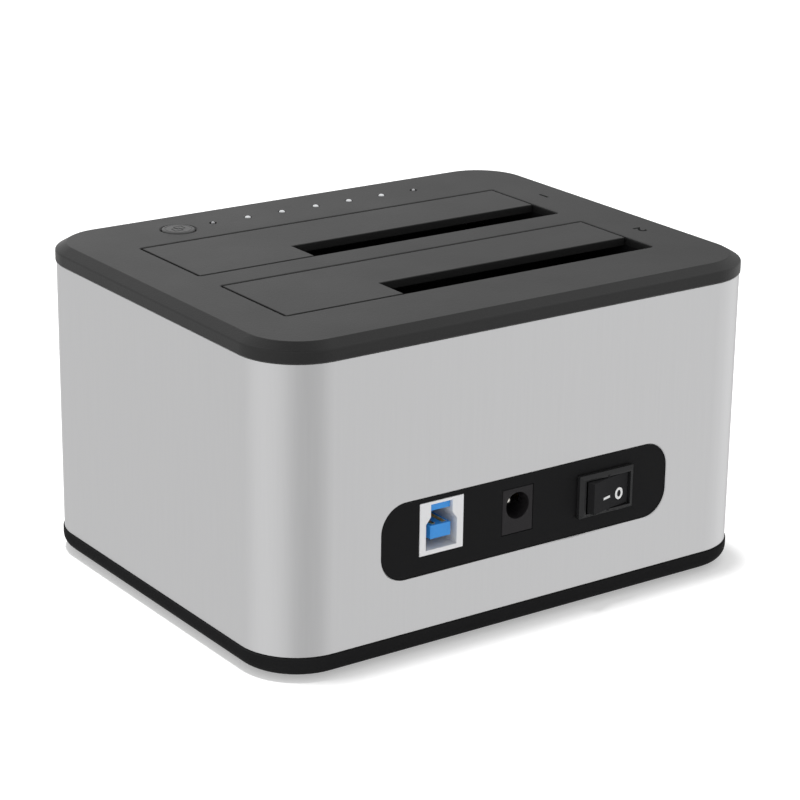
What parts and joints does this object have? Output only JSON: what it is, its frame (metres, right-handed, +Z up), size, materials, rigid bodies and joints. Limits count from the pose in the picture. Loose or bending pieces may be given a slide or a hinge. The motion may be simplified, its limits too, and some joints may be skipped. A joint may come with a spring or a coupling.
{
  "type": "drive duplicator dock",
  "caption": "Desktop dock for bare drives with sprung flaps over its bays, a row of lights, a copy button, a USB socket, a power jack and a rocker switch.",
  "frame": {"origin": "bottom centre of the whole object's box, on the surface it stands on", "axes": "+X along the rear panel, to the left as one faces the rear from outside, +Y from the lights at the front to the sockets at the rear, +Z up"},
  "size_m": [0.1376, 0.1116, 0.0781],
  "materials": {
    "aluminium_satin": "satin anodised",
    "cover_plastic": "fine matt texture",
    "base_plastic": "smooth",
    "frame_plastic": "matt",
    "button_plastic": "matt",
    "foot_rubber": "matt",
    "screw_steel": "zinc plated",
    "pin_steel": "ground",
    "spring_steel": "drawn wire",
    "tinned_steel": "tin plated",
    "white_plastic": "smooth",
    "blue_plastic": "smooth",
    "gilt_brass": "gold flashed",
    "plain_brass": "nickel plated",
    "socket_plastic": "smooth",
    "switch_plastic": "smooth",
    "board_green": "solder mask",
    "chip_plastic": "matt",
    "can_aluminium": "bright",
    "led_white": "clear",
    "clear_acrylic": "clear moulded",
    "flex_film": "polyimide film"
  },
  "bodies": {
    "casing": {"base_plate": "base_plastic", "bay_frame": "frame_plastic", "board_screws": "screw_steel", "bridge_chip": "chip_plastic", "capacitors": "can_aluminium", "case_screws": "screw_steel", "crystal": "tinned_steel", "flap_spring_front": "spring_steel", "flap_spring_rear": "spring_steel", "flex_cable": "flex_film", "flex_socket_main": "white_plastic", "flex_socket_top": "white_plastic", "hinge_pin_front": "pin_steel", "hinge_pin_rear": "pin_steel", "inductors": "chip_plastic", "io_panel": "base_plastic", "jack_body": "socket_plastic", "jack_centre_pin": "plain_brass", "jack_contact": "gilt_brass", "led_board": "board_green", "led_board_screws": "screw_steel", "led_chips": "led_white", "light_pipes": "clear_acrylic", "main_board": "board_green", "memory_chip": "chip_plastic", "rubber_feet": "foot_rubber", "sata_contacts_front": "gilt_brass", "sata_contacts_rear": "gilt_brass", "sata_socket_front": "socket_plastic", "sata_socket_rear": "socket_plastic", "sleeve": "aluminium_satin", "switch_housing": "switch_plastic", "switch_terminals": "tinned_steel", "tact_switch": "chip_plastic", "top_cover": "cover_plastic", "usb_contacts": "gilt_brass", "usb_housing": "white_plastic", "usb_shell": "tinned_steel", "usb_tongues": "blue_plastic"},
    "front_flap": {"flap_front": "cover_plastic"},
    "rear_flap": {"flap_rear": "cover_plastic"},
    "rocker": {"switch_rocker": "switch_plastic"},
    "button": {"clone_button": "button_plastic", "tact_plunger": "button_plastic"}
  },
  "joints": [
    {"name": "front_flap_hinge", "type": "hinge", "parent": "casing", "child": "front_flap", "pos_m": [0.00075, -0.03564, 0.07365], "axis": [-1, 0, 0], "range_deg": [0, 88], "stiffness_Nm_per_rad": 0.01, "springref_deg": -17.19, "deforming": ["flap_spring_front"]},
    {"name": "rear_flap_hinge", "type": "hinge", "parent": "casing", "child": "rear_flap", "pos_m": [0.00075, 0.00086, 0.07365], "axis": [-1, 0, 0], "range_deg": [0, 88], "stiffness_Nm_per_rad": 0.01, "springref_deg": -17.19, "deforming": ["flap_spring_rear"]},
    {"name": "power_rocker_tilt", "type": "hinge", "parent": "casing", "child": "rocker", "pos_m": [-0.0218, 0.05303, 0.02825], "axis": [0, 0, -1], "range_deg": [0, 24]},
    {"name": "copy_button_press", "type": "slide", "parent": "casing", "child": "button", "axis": [0, 0, -1], "range_m": [0, 0.0005], "stiffness_N_per_m": 2400, "springref_m": -0.0002}
  ]
}
